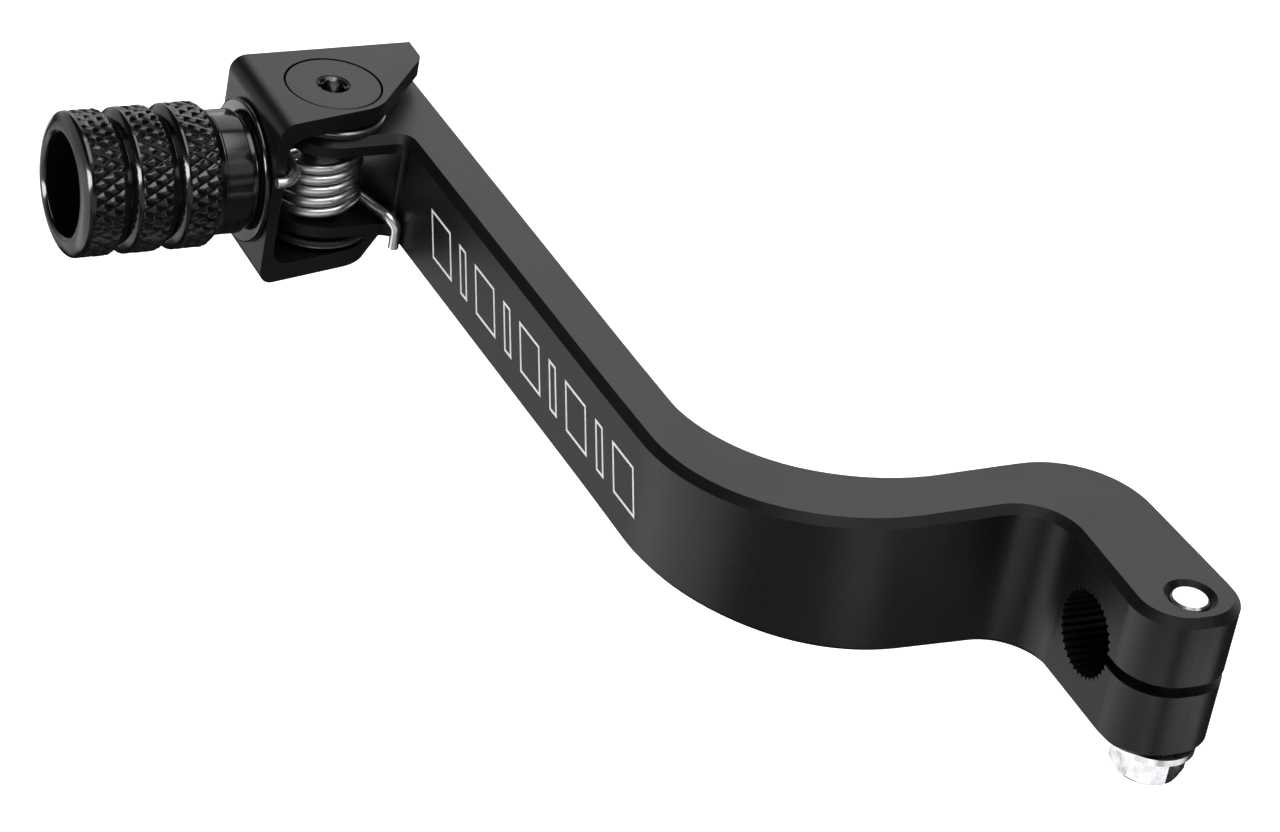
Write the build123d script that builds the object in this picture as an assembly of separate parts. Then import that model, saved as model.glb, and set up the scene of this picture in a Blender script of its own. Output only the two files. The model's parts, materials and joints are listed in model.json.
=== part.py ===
from build123d import *
import math
import os

os.makedirs("parts", exist_ok=True)

# Motorcycle gear shift lever, left-hand side.  Millimetres.
# X forward, Y outboard (the way the toe peg points), Z up.
# Origin: axis of the splined bore, in the plane of its outboard mouth.

# ---- lever arm -------------------------------------------------------------
ROOT_HALF = 12.7            # half height at the clamp
TIP_HALF = 9.7              # half height along the straight and at the fork
TAPER_FROM, TAPER_TO = 3.7, 88.0    # along the diagonal, where the height eases off
EDGE = 1.25                 # chamfer along the top and bottom outlines

END_X, END_R = -16.5, 8.0  # rounded clamp end
CLAMP_DEPTH, CLAMP_SLANT = 17.4, math.tan(math.radians(4.0))
HEEL_R = 16.3               # outer corner between clamp and crank
INNER_R = 8.0               # inner corner between clamp and crank
BACK_X, FRONT_X = 16.1, 28.0        # rear and front sides of the crank
BEND_OUTER, BEND_INNER = 32.3, 30.1 # bend into the straight
NEAR_Y, FAR_Y = 51.7, 42.1  # sides of the straight, at x = 0
STRAIGHT_SLOPE = math.tan(math.radians(1.5))

# ---- splined bore and pinch clamp --------------------------------------------
TEETH = 36
BORE_MINOR, BORE_MAJOR = 6.6, 7.2
LAND = 0.42                 # share of the pitch taken by each tooth's crest
SLOT = 1.9
BOLT_X, BOLT_Y = -9.9, -9.4
BOLT_R, CLEAR_R = 3.0, 3.3
HOLE_CHAMFER = 1.1
FLANGE_R, HEX_AF = 6.6, 10.0

# ---- folding tip ---------------------------------------------------------------
PX, PY = 144.8, 64.9        # pivot axis
LUG_R = 9.4
LUG_INNER = 6.65            # half height of the gap between the lugs
WASHER, WASHER_R = 1.3, 9.1
EAR_IN, EAR_OUT = 11.8, 14.9
BOSS_R = 7.6                # raised ring on each ear that bears on the thrust washer
WEB_IN, WEB_OUT = 74.35, 78.4
RELIEF_X, RELIEF_IN, RELIEF_R = 140.0, 76.35, 3.0  # the web is thinner behind this line, for the spring
HEAD_R, HEAD_H, HEAD_SEAT_R = 7.8, 2.0, 8.1
PIN_R, SLEEVE_IN, SLEEVE_OUT = 3.0, 3.05, 3.9

WIRE_R, COIL_R = 0.85, 6.6
COIL_X, COIL_Y = 144.0, 66.0        # the coil is pushed off centre by its legs
COIL_LOW, COIL_PITCH = -6.15, 2.08
COIL_LEAN = 0.07            # tilt of the coil towards the arm, mm per mm

PEG_R, NECK_R = 11.8, 10.1
PEG_END = 109.8
HOLLOW_R, HOLLOW_FLOOR = 8.3, 84.0
SCREW_R, SCREW_HEAD_R, SCREW_HEAD_H = 4.0, 6.5, 6.0
LOCK_WASHER = 1.2


def near_y(x):
    """Outboard side of the straight part."""
    return NEAR_Y + x * STRAIGHT_SLOPE


def far_y(x):
    """Inboard side of the straight part."""
    return FAR_Y + x * STRAIGHT_SLOPE


def clamp_far_y(x):
    """Inboard face of the clamp, slightly slanted."""
    return -CLAMP_DEPTH + x * CLAMP_SLANT


def disc(r, z0, z1, x=0.0, y=0.0):
    return Pos(x, y, (z0 + z1) / 2) * Cylinder(r, z1 - z0)


def rod_y(r, y0, y1, x=0.0, z=0.0):
    return Pos(x, (y0 + y1) / 2, z) * Rot(90, 0, 0) * Cylinder(r, y1 - y0)


def rounded_polygon(corners):
    """Face from (x, y, radius) corners; radius 0 leaves the corner sharp."""
    face = make_face(Polyline(*[(x, y) for x, y, _ in corners], close=True))
    for x, y, r in corners:
        if r:
            corner = face.vertices().sort_by_distance((x, y, 0))[0]
            face = fillet(corner, r)
    return face


def arm_outline():
    """Plan of the arm without the fork lugs."""
    front = PX + LUG_R
    return rounded_polygon([
        (END_X, 0, END_R), (BACK_X, 0, INNER_R),
        (BACK_X, near_y(BACK_X), BEND_OUTER), (front, near_y(front), 0),
        (front, far_y(front), 0), (FRONT_X, far_y(FRONT_X), BEND_INNER),
        (FRONT_X, clamp_far_y(FRONT_X), HEEL_R), (END_X, clamp_far_y(END_X), END_R),
    ])


def lug_outline():
    """Fork lug: rounded to the rear about the pivot, square to the front to stop the tip."""
    base = near_y(PX) - 2.0
    return rounded_polygon([
        (PX - LUG_R, base, 0), (PX - LUG_R, PY + LUG_R, LUG_R - 0.05),
        (PX + LUG_R, PY + LUG_R, 1.5), (PX + LUG_R, base, 0),
    ])


def height_envelope():
    """Side profile across the diagonal: full height at the clamp, shallower at the tip."""
    mid = ((TAPER_FROM + TAPER_TO) / 2, (ROOT_HALF + TIP_HALF) / 2)
    with BuildLine() as upper:
        l1 = Line((-60, 0), (-60, ROOT_HALF))
        l2 = Line(l1 @ 1, (TAPER_FROM, ROOT_HALF))
        l3 = TangentArc(l2 @ 1, mid, tangent=(1, 0))
        l4 = TangentArc(mid, (TAPER_TO, TIP_HALF), tangent=l3 % 1)
        l5 = Line(l4 @ 1, (200, TIP_HALF))
        l6 = Line(l5 @ 1, (200, 0))
        Line(l6 @ 1, l1 @ 0)
    half = make_face(upper.line)
    diagonal = Plane(origin=(0, 0, 0), x_dir=(1, 1, 0), z_dir=(1, -1, 0))
    return extrude(diagonal * (half + mirror(half, about=Plane.XZ)), 200, both=True)


def spline_cutter():
    """Toothed bore along +Y; the tooth crests are lands on the minor circle."""
    step = 2 * math.pi / TEETH
    crest = step * LAND

    def at(r, a):
        return (r * math.cos(a), r * math.sin(a))

    with BuildLine() as ring:
        for i in range(TEETH):
            a = i * step
            ThreePointArc(at(BORE_MINOR, a - crest / 2), at(BORE_MINOR, a), at(BORE_MINOR, a + crest / 2))
            Line(at(BORE_MINOR, a + crest / 2), at(BORE_MAJOR, a + step / 2))
            Line(at(BORE_MAJOR, a + step / 2), at(BORE_MINOR, a + step - crest / 2))
    return extrude(Plane.XZ * make_face(ring.line), 30, both=True)


def outline_edges(solid):
    """Edges of the top and bottom faces, left of the fork, to be chamfered."""
    faces = [f for f in solid.faces() if abs(f.normal_at().Z) > 0.9]
    tops = [f for f in faces if f.normal_at().Z > 0]
    bottoms = [f for f in faces if f.normal_at().Z < 0]
    inner = []
    for group in (tops, bottoms):
        seen = {}
        for f in group:
            for e in f.edges():
                c = e.center()
                seen.setdefault((round(c.X, 3), round(c.Y, 3), round(c.Z, 3)), []).append(e)
        inner += [es[0] for es in seen.values() if len(es) == 1]
    return inner


def lever_arm():
    blank = extrude(arm_outline(), 20, both=True) & height_envelope()
    lugs = extrude(lug_outline(), TIP_HALF, both=True)
    body = blank + lugs
    corner = [e for e in body.edges().filter_by(Axis.Z)
              if abs(e.center().X - (PX - LUG_R)) < 0.05 and abs(e.center().Y - near_y(PX - LUG_R)) < 0.4]
    body = fillet(corner, 1.6)
    body = chamfer(outline_edges(body), EDGE)
    gap_y = near_y(PX) + 0.15
    body -= Pos(PX, gap_y + 15, 0) * Box(60, 30, 2 * LUG_INNER)
    body -= disc(SLEEVE_OUT, -20, 20, PX, PY)
    body -= spline_cutter()
    body -= Pos(-20, -10, 0) * Box(40, 60, SLOT)
    body -= disc(BOLT_R, 0, 20, BOLT_X, BOLT_Y)
    body -= disc(CLEAR_R, -20, 0, BOLT_X, BOLT_Y)
    body -= Pos(BOLT_X, BOLT_Y, ROOT_HALF - HOLE_CHAMFER / 2) * Cone(
        BOLT_R, BOLT_R + HOLE_CHAMFER, HOLE_CHAMFER)
    return body


def pinch_bolt():
    """Flange bolt from below; the shank ends just under the top face."""
    seat = -ROOT_HALF
    shank = disc(BOLT_R - 0.02, seat - 1.0, ROOT_HALF - 0.35, BOLT_X, BOLT_Y)
    tip = shank.edges().filter_by(GeomType.CIRCLE).sort_by(Axis.Z)[-1]
    shank = chamfer(tip, 0.3)
    flange = disc(FLANGE_R, seat - 1.1, seat, BOLT_X, BOLT_Y)
    slope = Pos(BOLT_X, BOLT_Y, seat - 1.6) * Cone(HEX_AF / 2, FLANGE_R, 1.0)
    hexagon = RegularPolygon(HEX_AF / 2, 6, major_radius=False)
    head = extrude(Pos(BOLT_X, BOLT_Y, seat - 6.0) * hexagon, 5.0)
    crown = Pos(BOLT_X, BOLT_Y, seat - 5.4) * Cone(HEX_AF / 2 * 0.95, HEX_AF / 2 * 1.2, 1.2)
    rest = disc(8, seat - 4.8, seat, BOLT_X, BOLT_Y)
    head = head & (crown + rest)
    bolt = shank + flange + slope + head
    return bolt - disc(3.2, seat - 6.1, seat - 5.4, BOLT_X, BOLT_Y)


def pivot_sleeve():
    """Steel sleeve pressed through both lugs; the pivot bolt turns in it."""
    return disc(SLEEVE_OUT, -TIP_HALF, TIP_HALF, PX, PY) - disc(SLEEVE_IN, -20, 20, PX, PY)


def thrust_washer(side):
    z0, z1 = sorted((side * TIP_HALF, side * (TIP_HALF + WASHER)))
    ring = disc(WASHER_R, z0, z1, PX, PY)
    ring = chamfer(ring.edges().filter_by(GeomType.CIRCLE), 0.25)
    return ring - disc(SLEEVE_IN, -20, 20, PX, PY)


def wire_along(path):
    return sweep(Plane(origin=path @ 0, z_dir=path % 0) * Circle(WIRE_R), path=path)


def return_spring():
    """Torsion spring round the sleeve: upper leg on the bracket's web, lower leg on the arm."""
    hook = Vector(134.6, 74.0, 4.85)
    end = [Vector(132.25, 76.5, 4.95), Vector(132.25, 78.2, 4.95)]
    foot = Vector(133.3, 57.1, -4.0)
    toe = [Vector(132.0, near_y(132) + WIRE_R + 0.1, -5.2), Vector(131.9, near_y(132) + WIRE_R + 0.08, -9.1)]

    def departure(point, turn):
        dx, dy = point.X - COIL_X, point.Y - COIL_Y
        return math.atan2(dy, dx) + turn * math.acos(COIL_R / math.hypot(dx, dy))

    a1 = departure(foot, 1)
    a2 = departure(hook, -1)
    turns = 5 + ((a2 - a1) / (2 * math.pi)) % 1
    steps = int(turns * 12)

    def on_coil(i):
        a = a1 + 2 * math.pi * turns * i / steps
        y, z = COIL_R * math.sin(a), COIL_LOW + COIL_PITCH * turns * i / steps
        return Vector(COIL_X + COIL_R * math.cos(a), COIL_Y + y + COIL_LEAN * z, z - COIL_LEAN * y)

    coil = Spline(*[on_coil(i) for i in range(steps + 1)])
    lower = FilletPolyline(coil @ 0, foot, *toe, radius=1.0)
    upper = FilletPolyline(coil @ 1, hook, *end, radius=1.0)
    return wire_along(coil) + wire_along(lower) + wire_along(upper)


def bracket_outline():
    """Plan of the ears: square to the front, about 45 degrees towards the arm, soft knee."""
    front, inboard = PX + 11.0, 47.0
    return rounded_polygon([
        (front, WEB_OUT, 0), (front, inboard, 0), (PX + 5.9, inboard, 2.6),
        (PX - 8.05, 59.8, 8.0), (PX - 11.6, WEB_OUT, 0),
    ])


def channel_profile():
    """Channel section seen along X: web outboard, ears pointing inboard."""
    outer = Pos(WEB_OUT - 20, 0) * Rectangle(40, 2 * EAR_OUT)
    outer = fillet([v for v in outer.vertices() if v.X > WEB_OUT - 1], 2.7)
    inner = Pos(WEB_IN - 25, 0) * Rectangle(50, 2 * EAR_IN)
    inner = fillet([v for v in inner.vertices() if v.X > WEB_IN - 1], 1.2)
    return outer - inner


def tip_bracket():
    section = Plane(origin=(120, 0, 0), x_dir=(0, 1, 0), z_dir=(1, 0, 0)) * channel_profile()
    body = extrude(section, 50)
    relief = Pos(RELIEF_X - 15, RELIEF_IN - 5, 0) * Box(30, 10, 2 * EAR_IN)
    body -= fillet(relief.edges().filter_by(Axis.X).sort_by(Axis.Y)[2:], RELIEF_R)
    body = body & extrude(bracket_outline(), 20, both=True)
    for side in (1, -1):
        z0, z1 = sorted((side * (TIP_HALF + WASHER), side * EAR_IN))
        body += disc(BOSS_R, z0, z1, PX, PY)
    body -= disc(HEAD_SEAT_R, EAR_OUT - HEAD_H, 20, PX, PY)
    body -= disc(PIN_R + 0.1, 0, 20, PX, PY)
    body -= disc(PIN_R, -20, 0, PX, PY)
    body -= rod_y(SCREW_R, 70, 82, PX)
    return body


def pivot_bolt():
    """Flat-headed shoulder bolt, flush with the top ear and threaded into the bottom one."""
    head = disc(HEAD_R, EAR_OUT - HEAD_H, EAR_OUT - 0.05, PX, PY)
    head = chamfer(head.edges().filter_by(GeomType.CIRCLE).sort_by(Axis.Z)[-1], 0.12)
    shank = disc(PIN_R, -EAR_OUT + 0.4, EAR_OUT - HEAD_H, PX, PY)
    shank = chamfer(shank.edges().filter_by(GeomType.CIRCLE).sort_by(Axis.Z)[0], 0.5)
    bolt = head + shank
    socket = Pos(PX, PY, EAR_OUT - 3.0) * RegularPolygon(2.0, 6, major_radius=False)
    bolt -= extrude(socket, 4)
    bolt -= Pos(PX, PY, EAR_OUT - 3.4) * Cone(0.2, 1.9, 0.85)
    return bolt - Pos(PX, PY, EAR_OUT - 0.4) * Cone(2.1, 2.85, 0.75)


def toe_peg():
    """Hollow turned peg: three grip rings, a plain neck and a collar on the web."""
    pitch, crest, ramp, face = 8.2, 4.6, 2.2, 0.8
    profile = [(SCREW_R + 0.15, WEB_OUT), (PEG_R - 0.2, WEB_OUT), (PEG_R, WEB_OUT + 0.25),
               (PEG_R, WEB_OUT + 0.9), (PEG_R - 0.3, WEB_OUT + 1.15), (9.0, WEB_OUT + 1.3),
               (9.0, WEB_OUT + 2.2), (NECK_R, WEB_OUT + 2.5), (NECK_R, 84.6)]
    for i in range(3):
        y = 84.6 + 0.5 + i * pitch
        profile += [(NECK_R + 0.1, y), (PEG_R, y + ramp), (PEG_R, y + ramp + crest)]
        if i < 2:
            profile += [(NECK_R + 0.1, y + ramp + crest + face), (NECK_R + 0.1, y + pitch - 0.3)]
    lip = [(PEG_R - 0.9, PEG_END - 0.45), (HOLLOW_R + 1.0, PEG_END), (HOLLOW_R + 0.5, PEG_END),
           (HOLLOW_R, PEG_END - 0.5), (HOLLOW_R, HOLLOW_FLOOR), (SCREW_R + 0.15, HOLLOW_FLOOR)]
    face2d = make_face(Polyline(*(profile + lip), close=True))
    axis = Axis((PX, 0, 0), (0, 1, 0))
    return revolve(Pos(PX, 0, 0) * face2d, axis, 360)


def peg_washer():
    y0 = HOLLOW_FLOOR
    return rod_y(7.2, y0, y0 + LOCK_WASHER, PX) - rod_y(SCREW_R + 0.1, y0 - 1, y0 + 3, PX)


def peg_screw():
    """Socket cap screw inside the hollow peg, threaded into the web."""
    y0 = HOLLOW_FLOOR + LOCK_WASHER
    head = rod_y(SCREW_HEAD_R, y0, y0 + SCREW_HEAD_H, PX)
    head = chamfer(head.edges().filter_by(GeomType.CIRCLE).sort_by(Axis.Y)[-1], 0.5)
    screw = head + rod_y(SCREW_R, WEB_IN + 0.1, y0, PX)
    socket = Plane(origin=(PX, y0 + SCREW_HEAD_H, 0), x_dir=(1, 0, 0), z_dir=(0, 1, 0))
    return screw - extrude(socket * RegularPolygon(3.0, 6, major_radius=False), 3.5, both=True)


nodes = {
    "lever_arm": lever_arm(),
    "pinch_bolt": pinch_bolt(),
    "pivot_sleeve": pivot_sleeve(),
    "upper_thrust_washer": thrust_washer(1),
    "lower_thrust_washer": thrust_washer(-1),
    "return_spring": return_spring(),
    "tip_bracket": tip_bracket(),
    "pivot_bolt": pivot_bolt(),
    "toe_peg": toe_peg(),
    "peg_washer": peg_washer(),
    "peg_screw": peg_screw(),
}
export_step(nodes["lever_arm"], "parts/lever_arm.step")
export_step(nodes["pinch_bolt"], "parts/pinch_bolt.step")
export_step(nodes["pivot_sleeve"], "parts/pivot_sleeve.step")
export_step(nodes["upper_thrust_washer"], "parts/upper_thrust_washer.step")
export_step(nodes["lower_thrust_washer"], "parts/lower_thrust_washer.step")
export_step(nodes["return_spring"], "parts/return_spring.step")
export_step(nodes["tip_bracket"], "parts/tip_bracket.step")
export_step(nodes["pivot_bolt"], "parts/pivot_bolt.step")
export_step(nodes["toe_peg"], "parts/toe_peg.step")
export_step(nodes["peg_washer"], "parts/peg_washer.step")
export_step(nodes["peg_screw"], "parts/peg_screw.step")
for name, shape in nodes.items():
    print(name, round(shape.volume, 1), len(shape.solids()), shape.is_valid)
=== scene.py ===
import json
import math

import bpy
from mathutils import Matrix, Vector


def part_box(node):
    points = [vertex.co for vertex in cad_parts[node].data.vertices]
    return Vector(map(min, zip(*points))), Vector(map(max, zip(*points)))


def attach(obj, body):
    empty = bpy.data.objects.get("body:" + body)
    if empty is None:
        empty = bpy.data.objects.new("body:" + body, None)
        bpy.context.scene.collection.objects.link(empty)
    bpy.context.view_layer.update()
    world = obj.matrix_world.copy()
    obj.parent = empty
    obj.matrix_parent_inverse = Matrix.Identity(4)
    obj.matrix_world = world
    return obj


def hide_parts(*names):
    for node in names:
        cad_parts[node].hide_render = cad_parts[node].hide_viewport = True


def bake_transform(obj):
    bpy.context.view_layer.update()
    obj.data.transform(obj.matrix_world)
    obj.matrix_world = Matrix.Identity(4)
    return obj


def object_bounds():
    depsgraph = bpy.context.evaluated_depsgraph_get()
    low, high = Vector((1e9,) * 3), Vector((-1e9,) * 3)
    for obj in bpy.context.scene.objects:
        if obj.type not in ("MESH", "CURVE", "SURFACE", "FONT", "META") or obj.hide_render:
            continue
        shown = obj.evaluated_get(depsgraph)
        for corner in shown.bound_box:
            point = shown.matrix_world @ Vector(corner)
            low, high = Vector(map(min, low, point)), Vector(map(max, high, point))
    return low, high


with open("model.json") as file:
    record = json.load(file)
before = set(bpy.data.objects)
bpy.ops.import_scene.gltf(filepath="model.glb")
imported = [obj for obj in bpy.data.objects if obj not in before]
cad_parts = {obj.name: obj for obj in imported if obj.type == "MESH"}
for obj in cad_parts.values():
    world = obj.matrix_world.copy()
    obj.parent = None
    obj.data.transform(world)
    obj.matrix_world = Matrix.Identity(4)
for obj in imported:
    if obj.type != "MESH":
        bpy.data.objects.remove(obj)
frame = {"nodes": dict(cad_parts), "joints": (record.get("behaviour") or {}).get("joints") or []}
CAD_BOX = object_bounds()
NODES = frame["nodes"]
MM = 0.001

# ---------------------------------------------------------------- places read from the frame
PIVOT = Vector(frame["joints"][0]["pos_m"])
PEG_LOW, PEG_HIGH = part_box("toe_peg")
PEG_X = (PEG_LOW.x + PEG_HIGH.x) / 2
WASHER_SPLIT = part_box("upper_thrust_washer")[1].z - 0.42 * MM    # height where the steel band next to the ear meets the painted shade band next to the lug
SOCKET_WALL, SOCKET_RIM = 2.45 * MM, 2.75 * MM                   # radii where bare metal turns to coating


# ---------------------------------------------------------------- node tree helpers
class Tree:
    """Short way to write a node tree: nodes are made with their settings and linked by name."""

    def __init__(self, tree):
        self.tree = tree
        tree.nodes.clear()

    def node(self, kind, inputs=None, **settings):
        made = self.tree.nodes.new(kind)
        for key, value in settings.items():
            setattr(made, key, value)
        for key, value in (inputs or {}).items():
            self.put(made.inputs[key], value)
        return made

    def put(self, socket, value):
        if isinstance(value, bpy.types.NodeSocket):
            self.tree.links.new(value, socket)
        else:
            socket.default_value = value

    def math(self, operation, a, b=0.0):
        return self.node("ShaderNodeMath", {0: a, 1: b}, operation=operation).outputs[0]

    def vector(self, operation, a, b=(0, 0, 0)):
        made = self.node("ShaderNodeVectorMath", {0: a, 1: b}, operation=operation)
        return made.outputs["Value"] if operation in ("DOT_PRODUCT", "LENGTH") else made.outputs[0]

    def noise(self, where, scale, detail=2.0, roughness=0.5):
        made = self.node("ShaderNodeTexNoise", {"Vector": where, "Scale": scale,
                                                "Detail": detail, "Roughness": roughness})
        return made.outputs["Fac"]

    def spread(self, value, low, high, to_low=0.0, to_high=1.0):
        """Value moved smoothly from the range low..high to the range to_low..to_high."""
        made = self.node("ShaderNodeMapRange", {0: value, 1: low, 2: high, 3: to_low, 4: to_high})
        made.interpolation_type = "SMOOTHSTEP"
        made.clamp = True
        return made.outputs[0]

    def mix(self, share, a, b):
        made = self.node("ShaderNodeMix", data_type="RGBA")
        self.put(made.inputs[0], share)
        self.put(made.inputs[6], a)
        self.put(made.inputs[7], b)
        return made.outputs[2]

    def mix_value(self, share, a, b):
        made = self.node("ShaderNodeMix", data_type="FLOAT")
        for index, value in ((0, share), (2, a), (3, b)):
            self.put(made.inputs[index], value)
        return made.outputs[0]

    def bump(self, height, strength, distance):
        inputs = {"Height": height, "Strength": strength, "Distance": distance}
        return self.node("ShaderNodeBump", inputs).outputs[0]


def grey(level, warm=0.0):
    return (level * (1 + warm), level, level * (1 - warm), 1.0)


def finish_material(name, build):
    """A Principled material whose textures are made by build(tree), which returns its sockets."""
    material = bpy.data.materials.new(name)
    material.use_nodes = True
    tree = Tree(material.node_tree)
    shader = tree.node("ShaderNodeBsdfPrincipled")
    for key, value in build(tree).items():
        tree.put(shader.inputs[key], value)
    output = tree.node("ShaderNodeOutputMaterial")
    tree.put(output.inputs["Surface"], shader.outputs[0])
    return material


def edge_wear(tree, radius, noise):
    """About 1 on sharp outside and inside edges, broken up by noise, and 0 on open faces."""
    rounded = tree.node("ShaderNodeBevel", {"Radius": radius}, samples=6).outputs[0]
    flat = tree.node("ShaderNodeNewGeometry").outputs["Normal"]
    turn = tree.vector("DOT_PRODUCT", rounded, flat)
    edge = tree.spread(turn, 0.995, 0.90, 0.0, 1.0)
    broken = tree.spread(noise, 0.35, 0.65)
    return tree.math("MULTIPLY", edge, broken)


# ---------------------------------------------------------------- materials
def satin_anodised(tree):
    """Black anodised aluminium after milling: fine grain, faint tool marks, edges rubbed a little lighter."""
    place = tree.node("ShaderNodeTexCoord").outputs["Object"]
    grain = tree.noise(place, 5200, 3, 0.62)
    patch = tree.noise(place, 70, 3)
    upright = tree.node("ShaderNodeMapping", {"Vector": place, "Scale": (2600, 2600, 60)}).outputs[0]
    milling = tree.noise(upright, 1.0, 2)
    wear = edge_wear(tree, 0.10 * MM, tree.noise(place, 900, 3))
    base = tree.mix(patch, grey(0.0015, -0.02), grey(0.0030, 0.01))
    speck = tree.mix(tree.spread(grain, 0.45, 0.75), base, grey(0.007))
    colour = tree.mix(tree.math("MULTIPLY", wear, 0.4), speck, grey(0.06))
    rough = tree.spread(tree.math("ADD", grain, tree.math("MULTIPLY", patch, 0.6)), 0.45, 1.15, 0.30, 0.44)
    height = tree.math("ADD", grain, tree.math("MULTIPLY", milling, 0.55))
    return {"Base Color": colour, "Roughness": rough, "IOR": 1.5, "Specular IOR Level": 0.3,
            "Normal": tree.bump(height, 0.55, 0.022 * MM)}


def socket_head(tree):
    """Pivot bolt: satin black on the head, with the driven socket rubbed bright and smooth."""
    look = satin_anodised(tree)
    place = tree.node("ShaderNodeTexCoord").outputs["Object"]
    across = tree.vector("MULTIPLY", tree.vector("SUBTRACT", place, tuple(PIVOT)), (1, 1, 0))
    inside = tree.spread(tree.vector("LENGTH", across), SOCKET_RIM, SOCKET_WALL)
    look["Base Color"] = tree.mix(inside, look["Base Color"], grey(0.16))
    look["Metallic"] = inside
    look["Roughness"] = tree.mix_value(inside, look["Roughness"], 0.16)
    return look


def gloss_anodised(tree):
    """Bright-dipped black anodising on the turned peg: glossy, with rubbed knurl crests."""
    place = tree.node("ShaderNodeTexCoord").outputs["Object"]
    crest = tree.node("ShaderNodeAttribute", attribute_name="crest").outputs["Fac"]
    grain = tree.noise(place, 4200, 3, 0.6)
    along = tree.node("ShaderNodeMapping", {"Vector": place, "Scale": (40, 9000, 40)}).outputs[0]
    turning = tree.noise(along, 1.0, 2)
    rub = tree.math("MULTIPLY", tree.spread(crest, 0.80, 1.0), tree.spread(grain, 0.35, 0.7))
    colour = tree.mix(rub, tree.mix(grain, grey(0.002), grey(0.004)), grey(0.010))
    rough = tree.spread(tree.math("ADD", grain, rub), 0.3, 1.5, 0.12, 0.30)
    return {"Base Color": colour, "Roughness": rough, "IOR": 1.55, "Specular IOR Level": 0.4,
            "Normal": tree.bump(turning, 0.12, 0.006 * MM)}


def zinc_plate(tree):
    """Bright zinc plating on the pinch bolt, slightly mottled."""
    place = tree.node("ShaderNodeTexCoord").outputs["Object"]
    mottle = tree.noise(place, 420, 4, 0.6)
    fine = tree.noise(place, 3800, 2)
    colour = tree.mix(tree.spread(mottle, 0.38, 0.62), (0.62, 0.63, 0.66, 1), (0.94, 0.94, 0.92, 1))
    rough = tree.spread(tree.math("ADD", mottle, fine), 0.6, 1.4, 0.16, 0.34)
    return {"Base Color": colour, "Metallic": 1.0, "Roughness": rough,
            "Normal": tree.bump(tree.math("ADD", fine, mottle), 0.25, 0.02 * MM)}


def drawn_wire(tree):
    """Bright spring wire with die marks along its length and soft blotches in its tone."""
    place = tree.node("ShaderNodeTexCoord").outputs["Object"]
    around = tree.node("ShaderNodeAttribute", attribute_name="wire_place").outputs["Vector"]
    stretched = tree.node("ShaderNodeMapping", {"Vector": around, "Scale": (9, 9, 90)}).outputs[0]
    lines = tree.noise(stretched, 1.0, 3)
    blotch = tree.noise(place, 700, 3)
    colour = tree.mix(blotch, (0.74, 0.74, 0.73, 1), (0.92, 0.92, 0.91, 1))
    rough = tree.spread(tree.math("ADD", lines, blotch), 0.6, 1.4, 0.26, 0.38)
    return {"Base Color": colour, "Metallic": 1.0, "Roughness": rough,
            "Normal": tree.bump(lines, 0.2, 0.006 * MM)}


def turned_steel(light, dark, rough_low, rough_high, axis, centre, metallic=1.0):
    """Steel with fine concentric turning marks about an axis through centre."""
    def build(tree):
        place = tree.node("ShaderNodeTexCoord").outputs["Object"]
        offset = tree.vector("SUBTRACT", place, tuple(centre))
        keep = tuple(0.0 if i == axis else 1.0 for i in range(3))
        radius = tree.vector("LENGTH", tree.vector("MULTIPLY", offset, keep))
        inputs = {"W": tree.math("MULTIPLY", radius, 9000.0), "Scale": 1.0, "Detail": 2.0}
        rings = tree.node("ShaderNodeTexNoise", inputs, noise_dimensions="1D").outputs["Fac"]
        blotch = tree.noise(place, 600, 3)
        colour = tree.mix(blotch, grey(dark), grey(light))
        rough = tree.spread(tree.math("ADD", rings, blotch), 0.6, 1.4, rough_low, rough_high)
        return {"Base Color": colour, "Metallic": metallic, "Roughness": rough,
                "Normal": tree.bump(rings, 0.35, 0.010 * MM)}
    return build


def washer_with_painted_shade(tree):
    """Thrust washer: bright steel next to the ear, and a near-black band next to the lug that is painted
    shade standing in for the rim's dark reflection.
    """
    place = tree.node("ShaderNodeTexCoord").outputs["Object"]
    height = tree.math("ABSOLUTE", tree.node("ShaderNodeSeparateXYZ", {0: place}).outputs[2])
    blotch = tree.noise(place, 900, 3)
    edge = tree.math("ADD", height, tree.math("MULTIPLY", blotch, 0.08 * MM))
    steel = tree.spread(edge, WASHER_SPLIT, WASHER_SPLIT + 0.05 * MM)
    # painted shade: the side of the washer next to the lug is coloured near-black and rough instead of steel
    painted_shade_band = tree.mix(blotch, grey(0.004), grey(0.012))
    backing = tree.mix(blotch, grey(0.30), grey(0.48))
    colour = tree.mix(steel, painted_shade_band, backing)
    rough = tree.spread(steel, 0.0, 1.0, 0.55, 0.30)
    return {"Base Color": colour, "Metallic": steel, "Roughness": rough,
            "Normal": tree.bump(blotch, 0.25, 0.010 * MM)}


def marking_paint(tree):
    """Pale laser-etched line: matt, slightly uneven."""
    place = tree.node("ShaderNodeTexCoord").outputs["Object"]
    uneven = tree.noise(place, 2600, 3)
    colour = tree.mix(uneven, grey(0.80), grey(0.95))
    return {"Base Color": colour, "Roughness": 0.62, "Normal": tree.bump(uneven, 0.3, 0.01 * MM)}


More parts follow.
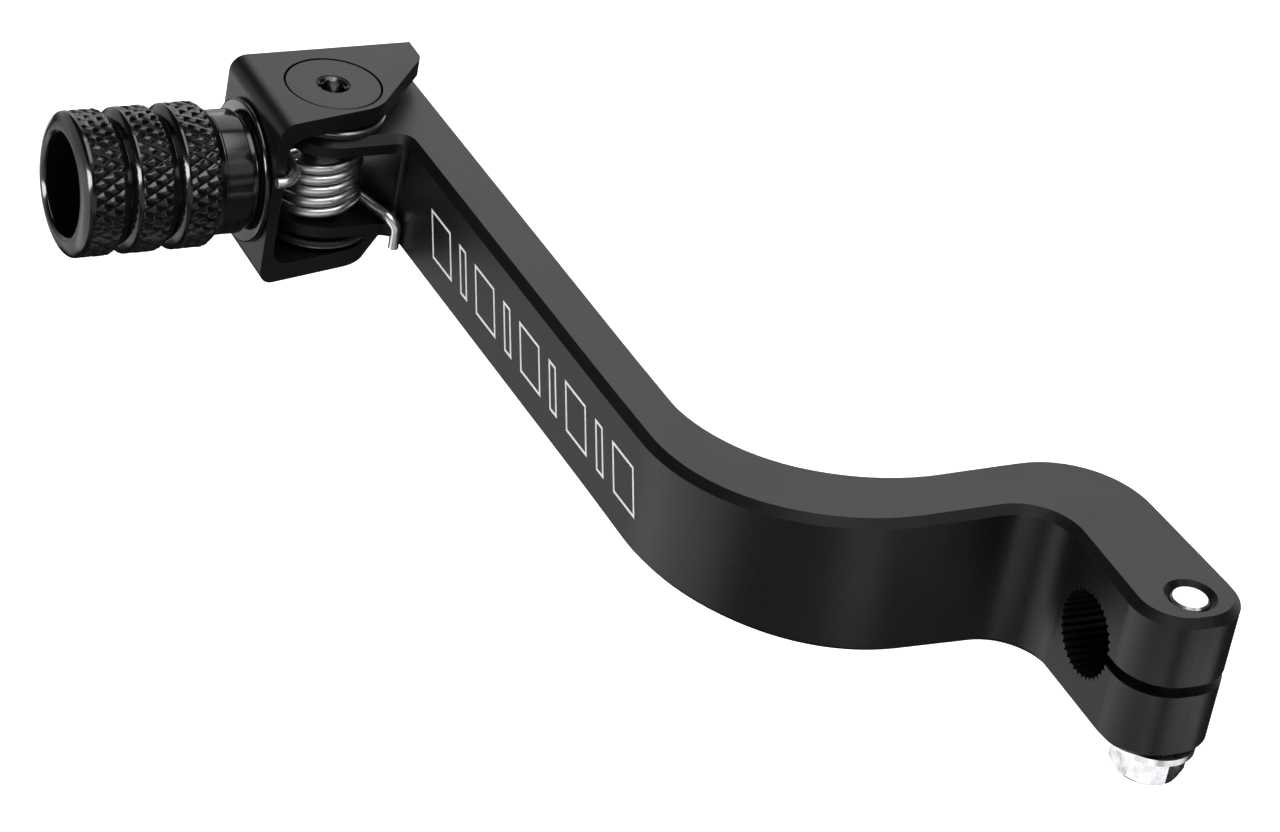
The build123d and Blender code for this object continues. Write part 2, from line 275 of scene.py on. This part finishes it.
SATIN = finish_material("anodised_black_satin", satin_anodised)
HEAD = finish_material("socket_head_black", socket_head)
GLOSS = finish_material("anodised_black_gloss", gloss_anodised)
ZINC = finish_material("zinc_plate", zinc_plate)
WIRE = finish_material("drawn_spring_wire", drawn_wire)
WASHER = finish_material("thrust_washer_painted_shade", washer_with_painted_shade)
SLEEVE = finish_material("sleeve_steel_ground", turned_steel(0.55, 0.40, 0.24, 0.36, 2, PIVOT))
LOCK = finish_material("peg_washer_steel", turned_steel(0.62, 0.45, 0.22, 0.36, 1, (PEG_X, 0, 0)))
SCREW = finish_material("black_oxide_steel", turned_steel(0.035, 0.018, 0.30, 0.42, 1, (PEG_X, 0, 0), 0.0))
MARK = finish_material("etched_marking", marking_paint)


def repaint(node, material):
    for slot in NODES[node].material_slots:
        slot.material = material


for name, paint in (("lever_arm", SATIN), ("tip_bracket", SATIN), ("pivot_bolt", HEAD),
                    ("upper_thrust_washer", WASHER), ("lower_thrust_washer", WASHER),
                    ("pivot_sleeve", SLEEVE), ("peg_washer", LOCK), ("peg_screw", SCREW),
                    ("toe_peg", GLOSS), ("return_spring", WIRE), ("pinch_bolt", ZINC)):
    repaint(name, paint)


# ---------------------------------------------------------------- mesh helpers
def mesh_object(name, points, faces, material, smooth=True, sharp=35.0):
    """Object from points in millimetres; smooth is one answer for all faces or one per face."""
    mesh = bpy.data.meshes.new(name)
    mesh.from_pydata([tuple(Vector(p) * MM) for p in points], [], faces)
    mesh.materials.append(material)
    answers = smooth if isinstance(smooth, list) else [smooth] * len(faces)
    for polygon, answer in zip(mesh.polygons, answers):
        polygon.use_smooth = answer
    mesh.set_sharp_from_angle(angle=math.radians(sharp))
    made = bpy.data.objects.new(name, mesh)
    bpy.context.scene.collection.objects.link(made)
    return made


def rounded(corners, steps=5):
    """Profile through (y, r, cut) corners, each corner cut back and rounded with a quadratic curve."""
    out = []
    for i, (y, r, cut) in enumerate(corners):
        here = Vector((y, r))
        if not cut or i in (0, len(corners) - 1):
            out.append(tuple(here))
            continue
        before = Vector(corners[i - 1][:2]) - here
        after = Vector(corners[i + 1][:2]) - here
        start = here + before.normalized() * min(cut, before.length * 0.49)
        end = here + after.normalized() * min(cut, after.length * 0.49)
        for k in range(steps + 1):
            t = k / steps
            out.append(tuple(start * (1 - t) ** 2 + here * (2 * t * (1 - t)) + end * t * t))
    return out


# ---------------------------------------------------------------- knurled toe peg
CREST_R, VALLEY_R, NECK_R, BORE_R = 11.8, 10.25, 10.1, 8.3
STARTS, PER_TOOTH, AXIAL = 36, 12, 3.5    # teeth round the peg, mesh steps in a tooth, axial period
KNURL_DEPTH = 0.52
RINGS, RING_FROM, RING_PITCH, RAMP, CREST, BEVEL = 3, 85.3, 8.1, 1.9, 4.7, 1.5
BORE_FLOOR, SCREW_HOLE_R = 84.0, 4.2


def tooth(turn, along):
    """Height between 0 and 1 of the crossed grooves at a place given in teeth and axial periods."""
    def ridge(p):
        return 1.0 - abs(2.0 * (p - math.floor(p)) - 1.0)
    first, second = ridge(turn + along), ridge(turn - along)
    cell = math.floor(turn + along) * 7 + math.floor(turn - along) * 13
    worn = 0.60 + 0.14 * ((cell * 0.618) % 1.0)
    return min(min(first, second * 0.94 + 0.06) / worn, 1.0)


def toe_peg():
    """One mesh for the whole peg: each row is (y, smooth radius, True where the knurl is cut)."""
    start = PEG_LOW.y / MM
    # collar against the bracket, groove, neck
    rows = [(y, r, False) for y, r in rounded([
        (start, 8.0, 0), (start, CREST_R - 0.05, 0.5), (start + 1.0, CREST_R - 0.05, 0.5),
        (start + 1.15, 9.1, 0.25), (start + 2.2, 9.0, 0.3), (start + 2.4, NECK_R, 0.12),
        (RING_FROM - 0.35, NECK_R, 0.1), (RING_FROM - 0.15, VALLEY_R, 0)])]
    step = AXIAL / PER_TOOTH
    for ring in range(RINGS):
        y0 = RING_FROM + ring * RING_PITCH
        last = y0 + RAMP + CREST
        count = round((RAMP + CREST) / step)
        for k in range(count + 1):
            y = y0 + (last - y0) * k / count
            rows.append((y, min(CREST_R, VALLEY_R + (y - y0) / RAMP * (CREST_R - VALLEY_R)), True))
        if ring < RINGS - 1:
            rows += [(y, r, False) for y, r in rounded([
                (last, CREST_R, 0), (last + 0.5, CREST_R - 0.04, 0.75),
                (last + BEVEL - 0.05, VALLEY_R + 0.12, 0.45), (y0 + RING_PITCH - 0.12, VALLEY_R, 0)])]
    # rounded end, lip, bore down to its floor
    rows += [(y, r, False) for y, r in rounded([
        (last, CREST_R, 0), (last + 0.75, CREST_R - 0.04, 0.95), (109.55, 10.45, 0.9), (109.8, 9.3, 0.35),
        (109.78, 8.95, 0.08), (109.35, BORE_R + 0.05, 0.25), (108.5, BORE_R, 0.3),
        (BORE_FLOOR + 0.3, BORE_R, 0.2), (BORE_FLOOR, BORE_R - 0.4, 0), (BORE_FLOOR, SCREW_HOLE_R, 0)])]
    columns = STARTS * PER_TOOTH
    points, heights, crest = [], [], []
    for y, smooth_r, cut in rows:
        for c in range(columns):
            height = tooth(c / PER_TOOTH, y / AXIAL) if cut else 1.0
            r = min(smooth_r, CREST_R - KNURL_DEPTH * (1.0 - height)) if cut else smooth_r
            a = 2 * math.pi * c / columns
            points.append((PEG_X / MM + r * math.cos(a), y, r * math.sin(a)))
            heights.append(height)
            crest.append(height if cut and smooth_r > CREST_R - 0.3 else 0.0)
    faces, smooth = [], []
    for i in range(len(rows) - 1):
        cut = rows[i][2] and rows[i + 1][2]
        for c in range(columns):
            d = (c + 1) % columns
            ring = (i * columns + c, (i + 1) * columns + c, (i + 1) * columns + d, i * columns + d)
            if not cut:
                faces.append(ring)
                smooth.append(True)
                continue
            middle = tooth((c + 0.5) / PER_TOOTH, (rows[i][0] + rows[i + 1][0]) / 2 / AXIAL)
            rising = abs(heights[ring[0]] + heights[ring[2]] - 2 * middle)
            falling = abs(heights[ring[1]] + heights[ring[3]] - 2 * middle)
            if rising <= falling:
                faces += [(ring[0], ring[1], ring[2]), (ring[0], ring[2], ring[3])]
            else:
                faces += [(ring[0], ring[1], ring[3]), (ring[1], ring[2], ring[3])]
            smooth += [False, False]
    peg = mesh_object("peg_knurled", points, faces, GLOSS, smooth)
    layer = peg.data.attributes.new("crest", "FLOAT", "POINT")
    layer.data.foreach_set("value", crest)
    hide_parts("toe_peg")
    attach(peg, "tip")


toe_peg()


# ---------------------------------------------------------------- return spring
WIRE_RADIUS, COIL_RADIUS, COIL_PITCH, COIL_LEAN = 0.87, 6.6, 2.08, 0.07
COIL_CENTRE = (144.0, 66.0)
COIL_START, FULL_TURNS = -6.15, 5
LEG_Y = 56.07                     # lower leg, resting against the arm
TURN_STEPS, WIRE_SIDES = 40, 24
PLACE_STEP = 0.02                 # how far the wire's texture moves in a millimetre


def leg_departure(point, turn):
    """Angle at which a straight line to the point leaves the coil's circle."""
    dx, dy = point[0] - COIL_CENTRE[0], point[1] - COIL_CENTRE[1]
    return math.atan2(dy, dx) + turn * math.acos(COIL_RADIUS / math.hypot(dx, dy))


def bend(corners, radius, steps=8):
    """Points along straight legs with rounded bends."""
    out = [corners[0]]
    for before, here, after in zip(corners, corners[1:], corners[2:]):
        back, on = before - here, after - here
        cut = min(radius, back.length * 0.45, on.length * 0.45)
        start, end = here + back.normalized() * cut, here + on.normalized() * cut
        for k in range(steps + 1):
            t = k / steps
            out.append(start * (1 - t) ** 2 + here * (2 * t * (1 - t)) + end * t * t)
    return out + [corners[-1]]


def spring_line():
    """Centre line of the wire: lower leg, close coils leaning a little, upper leg hooked on the web."""
    foot, hook = Vector((133.3, 57.1, -4.0)), Vector((134.6, 74.0, 4.85))
    first, last = leg_departure(foot, 1), leg_departure(hook, -1)
    turns = FULL_TURNS + ((last - first) / (2 * math.pi)) % 1
    coil = []
    steps = int(turns * TURN_STEPS)
    for i in range(steps + 1):
        share = turns * i / steps
        a = first + 2 * math.pi * share
        y, z = COIL_RADIUS * math.sin(a), COIL_START + COIL_PITCH * share
        coil.append(Vector((COIL_CENTRE[0] + COIL_RADIUS * math.cos(a), COIL_CENTRE[1] + y + COIL_LEAN * z,
                            z - COIL_LEAN * y)))
    lower = bend([Vector((131.9, LEG_Y, -9.1)), Vector((132.0, LEG_Y, -5.2)), foot, coil[0]], 1.6)
    upper = bend([coil[-1], hook, Vector((132.25, 76.5, 4.95)), Vector((132.25, 78.2, 4.95))], 1.3)
    return lower[:-1] + coil + upper[1:]


def return_spring():
    line = spring_line()
    around = WIRE_SIDES
    points, places, faces, smooth = [], [], [], []
    travelled = 0.0
    side = Vector((1, 0, 0))
    for i, here in enumerate(line):
        ahead = (line[min(i + 1, len(line) - 1)] - line[max(i - 1, 0)]).normalized()
        side = (side - ahead * side.dot(ahead)).normalized()
        up = ahead.cross(side)
        if i:
            travelled += (here - line[i - 1]).length
        for k in range(around):
            a = 2 * math.pi * k / around
            points.append(here + (side * math.cos(a) + up * math.sin(a)) * WIRE_RADIUS)
            places.append((math.cos(a), math.sin(a), travelled * PLACE_STEP))
    for i in range(len(line) - 1):
        for k in range(around):
            n = (k + 1) % around
            faces.append((i * around + k, i * around + n, (i + 1) * around + n, (i + 1) * around + k))
            smooth.append(True)

    def cut_end(ring, out, flip):
        """Sheared end: small rounded edge, shallow dish in the middle."""
        centre = line[ring // around]
        loops = []
        for scale, push in ((0.93, 0.07), (0.72, 0.06), (0.35, -0.05)):
            loops.append(len(points))
            for k in range(around):
                points.append(centre + (points[ring + k] - centre) * scale + out * push)
                places.append((0.0, 0.0, push))
        chain = [ring] + loops
        for a, b in zip(chain, chain[1:]):
            for k in range(around):
                n = (k + 1) % around
                quad = (a + k, a + n, b + n, b + k)
                faces.append(quad[::-1] if flip else quad)
                smooth.append(True)
        cap = tuple(chain[-1] + k for k in range(around))
        faces.append(cap[::-1] if flip else cap)
        smooth.append(False)

    cut_end((len(line) - 1) * around, (line[-1] - line[-2]).normalized(), False)
    cut_end(0, (line[0] - line[1]).normalized(), True)
    spring = mesh_object("spring_wire", points, faces, WIRE, smooth, 40.0)
    layer = spring.data.attributes.new("wire_place", "FLOAT_VECTOR", "POINT")
    layer.data.foreach_set("vector", [v for place in places for v in place])
    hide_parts("return_spring")
    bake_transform(spring)


return_spring()


# ---------------------------------------------------------------- generic marking on the arm
MARK_FROM, MARK_TO, MARK_HALF = 47.0, 121.5, 3.7
BARS = (7.4, 2.6, 7.4, 2.6, 7.4, 2.6, 7.4, 2.6, 7.4)
BAR_LEAN, STROKE = 0.42, 0.42
PAINT_FOOT, PAINT_TOP = 0.005, 0.045    # paint layer over the side face
NEAR_SIDE, NEAR_SLOPE = 51.7, math.tan(math.radians(1.5))


def outline_shape(corners, width):
    """Inner loop of a closed band of the given width along a polygon in the (x, z) plane."""
    inner = []
    count = len(corners)
    area = sum(a[0] * b[1] - b[0] * a[1] for a, b in zip(corners, corners[1:] + corners[:1]))
    turn = 1 if area > 0 else -1
    for i in range(count):
        here = Vector(corners[i])
        a = (here - Vector(corners[i - 1])).normalized()
        b = (Vector(corners[(i + 1) % count]) - here).normalized()
        na, nb = Vector((-a.y, a.x)) * turn, Vector((-b.y, b.x)) * turn
        mitre = (na + nb).normalized()
        inner.append(tuple(here + mitre * (width / max(0.35, mitre.dot(na)))))
    return inner


def generic_marking():
    """A row of plain slanted bars drawn as thin pale outlines; it stands for no maker and spells nothing."""
    points, faces = [], []
    gap = (MARK_TO - MARK_FROM - sum(BARS)) / (len(BARS) - 1)
    x = MARK_FROM
    shift = MARK_HALF * BAR_LEAN
    for length in BARS:
        outer = [(x - shift, -MARK_HALF), (x + length - shift, -MARK_HALF),
                 (x + length + shift, MARK_HALF), (x + shift, MARK_HALF)]
        inner = outline_shape(outer, STROKE)
        for lift in (PAINT_FOOT, PAINT_TOP):
            for loop in (outer, inner):
                points += [(px, NEAR_SIDE + px * NEAR_SLOPE + lift, pz) for px, pz in loop]
        base = len(points) - 16
        for k in range(4):
            n = (k + 1) % 4
            faces += [(base + 8 + k, base + 12 + k, base + 12 + n, base + 8 + n),
                      (base + k, base + 8 + k, base + 8 + n, base + n),
                      (base + 4 + k, base + 4 + n, base + 12 + n, base + 12 + k)]
        x += length + gap
    marking = mesh_object("side_marking", points, faces, MARK, False)
    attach(marking, "lever")


generic_marking()


# ---------------------------------------------------------------- small edge breaks on the machined nodes
def break_edges(node, width):
    """Rounds a CAD node's sharp edges by a bevel of the given width in millimetres."""
    modifier = NODES[node].modifiers.new("edge_break", "BEVEL")
    modifier.width = width * MM
    modifier.segments = 2
    modifier.limit_method = "ANGLE"
    modifier.angle_limit = math.radians(32.0)
    modifier.harden_normals = False
    modifier.use_clamp_overlap = True


break_edges("tip_bracket", 0.16)
break_edges("pinch_bolt", 0.14)


# ---------------------------------------------------------------- camera
CAMERA_AT = Vector((-529.04, 396.16, 438.46)) * MM
LOOK = Vector((0.726576, -0.430903, -0.535173))
ROLL = math.radians(11.259)
LENS = 150.17


def make_camera():
    camera = bpy.data.objects.new("camera", bpy.data.cameras.new("camera"))
    bpy.context.scene.collection.objects.link(camera)
    camera.data.lens = LENS
    camera.data.sensor_width = 36.0
    camera.data.clip_start = 0.02
    camera.data.clip_end = 20.0
    turn = LOOK.to_track_quat("-Z", "Y").to_matrix() @ Matrix.Rotation(ROLL, 3, "Z")
    camera.matrix_world = Matrix.Translation(CAMERA_AT) @ turn.to_4x4()
    bpy.context.scene.camera = camera


make_camera()


# ---------------------------------------------------------------- light and floor
AMBIENT = 0.022
PATCHES = (
    # direction, half angle of the full patch and of its faded edge (degrees), brightness
    ((0.73, -0.43, 0.53), 20, 31, 1.62),      # in the level top faces
    ((-0.05, -0.05, 1.0), 16, 30, 0.8),
    ((-0.75, 0.35, 0.45), 12, 34, 0.12),
    ((-0.50, -0.38, 0.78), 7, 14, 1.0),       # band along the peg's neck
    ((-0.50, 0.17, 0.85), 10, 22, 0.62),      # on the spring's turns
    ((-0.72, 0.41, -0.55), 14, 32, 0.30),     # on the bolt's hexagon and the crank's middle
    ((0.20, 0.80, -0.55), 18, 34, 1.60),      # in both bends of the crank
    ((0.66, 0.50, -0.54), 12, 26, 0.65),      # along the straight near side
    ((-0.72, -0.43, 0.54), 8, 15, 0.9),
    ((-0.73, -0.43, -0.53), 20, 45, 0.08),
)
BAND_CORE, BAND_EDGE, BAND_BRIGHT = 0.16, 0.34, 0.70    # heights above and below the horizon


def make_world():
    """Studio surroundings: soft patches of light by direction, a soft band round the horizon, and plain
    white where the camera looks straight at them."""
    world = bpy.data.worlds.new("studio")
    bpy.context.scene.world = world
    world.use_nodes = True
    tree = Tree(world.node_tree)
    toward = tree.vector("NORMALIZE", tree.node("ShaderNodeTexCoord").outputs["Generated"])
    total = AMBIENT
    for direction, inner, outer, bright in PATCHES:
        unit = tuple(Vector(direction).normalized())
        near = tree.vector("DOT_PRODUCT", toward, unit)
        patch = tree.spread(near, math.cos(math.radians(outer)), math.cos(math.radians(inner)), 0.0, bright)
        total = tree.math("ADD", total, patch)
    height = tree.vector("DOT_PRODUCT", toward, (0, 0, 1))
    band = tree.spread(tree.math("ABSOLUTE", height), BAND_EDGE, BAND_CORE, 0.0, BAND_BRIGHT)
    total = tree.math("ADD", total, band)
    studio = tree.node("ShaderNodeBackground", {"Color": (1, 1, 1, 1), "Strength": total}).outputs[0]
    plain = tree.node("ShaderNodeBackground", {"Color": (1, 1, 1, 1), "Strength": 1.0}).outputs[0]
    seen = tree.node("ShaderNodeLightPath").outputs["Is Camera Ray"]
    both = tree.node("ShaderNodeMixShader", {0: seen, 1: studio, 2: plain}).outputs[0]
    output = tree.node("ShaderNodeOutputWorld")
    tree.put(output.inputs["Surface"], both)


def make_floor():
    size, drop = 3.0, 0.045
    z = CAD_BOX[0].z - drop
    mesh = bpy.data.meshes.new("floor")
    centre = (CAD_BOX[0] + CAD_BOX[1]) / 2
    sides = ((-1, -1), (1, -1), (1, 1), (-1, 1))
    corners = [(centre.x + across * size, centre.y + on * size, z) for across, on in sides]
    mesh.from_pydata(corners, [], [(0, 1, 2, 3)])
    floor = bpy.data.objects.new("floor", mesh)
    bpy.context.scene.collection.objects.link(floor)

    def paper(tree):
        place = tree.node("ShaderNodeTexCoord").outputs["Object"]
        tone = tree.noise(place, 30, 2)
        return {"Base Color": tree.mix(tone, grey(0.93), grey(0.95)), "Roughness": 0.9,
                "Emission Color": (1, 1, 1, 1), "Emission Strength": 0.6}

    mesh.materials.append(finish_material("floor_paper", paper))
    floor.visible_glossy = False


def area_light(name, at, aim, size, power):
    lamp = bpy.data.lights.new(name, "AREA")
    lamp.shape = "RECTANGLE"
    lamp.size, lamp.size_y = size
    lamp.energy = power
    light = bpy.data.objects.new(name, lamp)
    bpy.context.scene.collection.objects.link(light)
    light.location = at
    light.rotation_euler = (Vector(aim) - Vector(at)).to_track_quat("-Z", "Y").to_euler()
    light.visible_camera = False
    return light


def strip_light(name, target, toward, along, distance, size, radiance, receiver):
    """Long softbox seen only in reflections in one piece, with its long side parallel to along."""
    toward = Vector(toward).normalized()
    long_side = Vector(along)
    long_side = (long_side - toward * long_side.dot(toward)).normalized()
    at = Vector(target) + toward * distance
    light = area_light(name, at, target, size, radiance * math.pi * size[0] * size[1])
    light.rotation_euler = Matrix((long_side, toward.cross(long_side), toward)).transposed().to_euler()
    light.visible_diffuse = False
    shown = bpy.data.collections.new(name + "_receivers")
    shown.objects.link(receiver)
    light.light_linking.receiver_collection = shown


CARDS = (
    # name, place, point aimed at, width and height (metres), power (watts)
    ("overhead", (0.05, 0.0, 0.9), (0.05, 0.02, 0.0), (0.7, 0.7), 6.0),
    ("card_corner", (0.206, 0.103, -0.022), (0.152, 0.0785, 0.0106), (0.018, 0.018), 0.0012),
    ("card_web", (0.192, 0.106, -0.034), (0.145, 0.0785, 0.0), (0.024, 0.024), 0.0006),
    ("card_side", (-0.0439, 0.0264, -0.028), (-0.0144, -0.0026, 0.0), (0.045, 0.028), 0.0038),
    ("card_end", (-0.0495, -0.034, -0.0275), (-0.0165, -0.009, 0.0), (0.05, 0.028), 0.0060),
    ("card_bolt", (-0.083, 0.020, -0.0665), (-0.0145, -0.0075, -0.0152), (0.03, 0.03), 0.003),
)

make_world()
make_floor()
for card in CARDS:
    area_light(*card)
strip_light("strip_peg", target=(0.138, 0.100, 0.006), toward=(-0.33, 0.90, 0.29), along=(-0.80, -0.30, 0.58),
            distance=0.35, size=(0.44, 0.10), radiance=20.0, receiver=bpy.data.objects["peg_knurled"])

bpy.context.scene.view_settings.view_transform = "Standard"
bpy.context.scene.view_settings.look = "None"
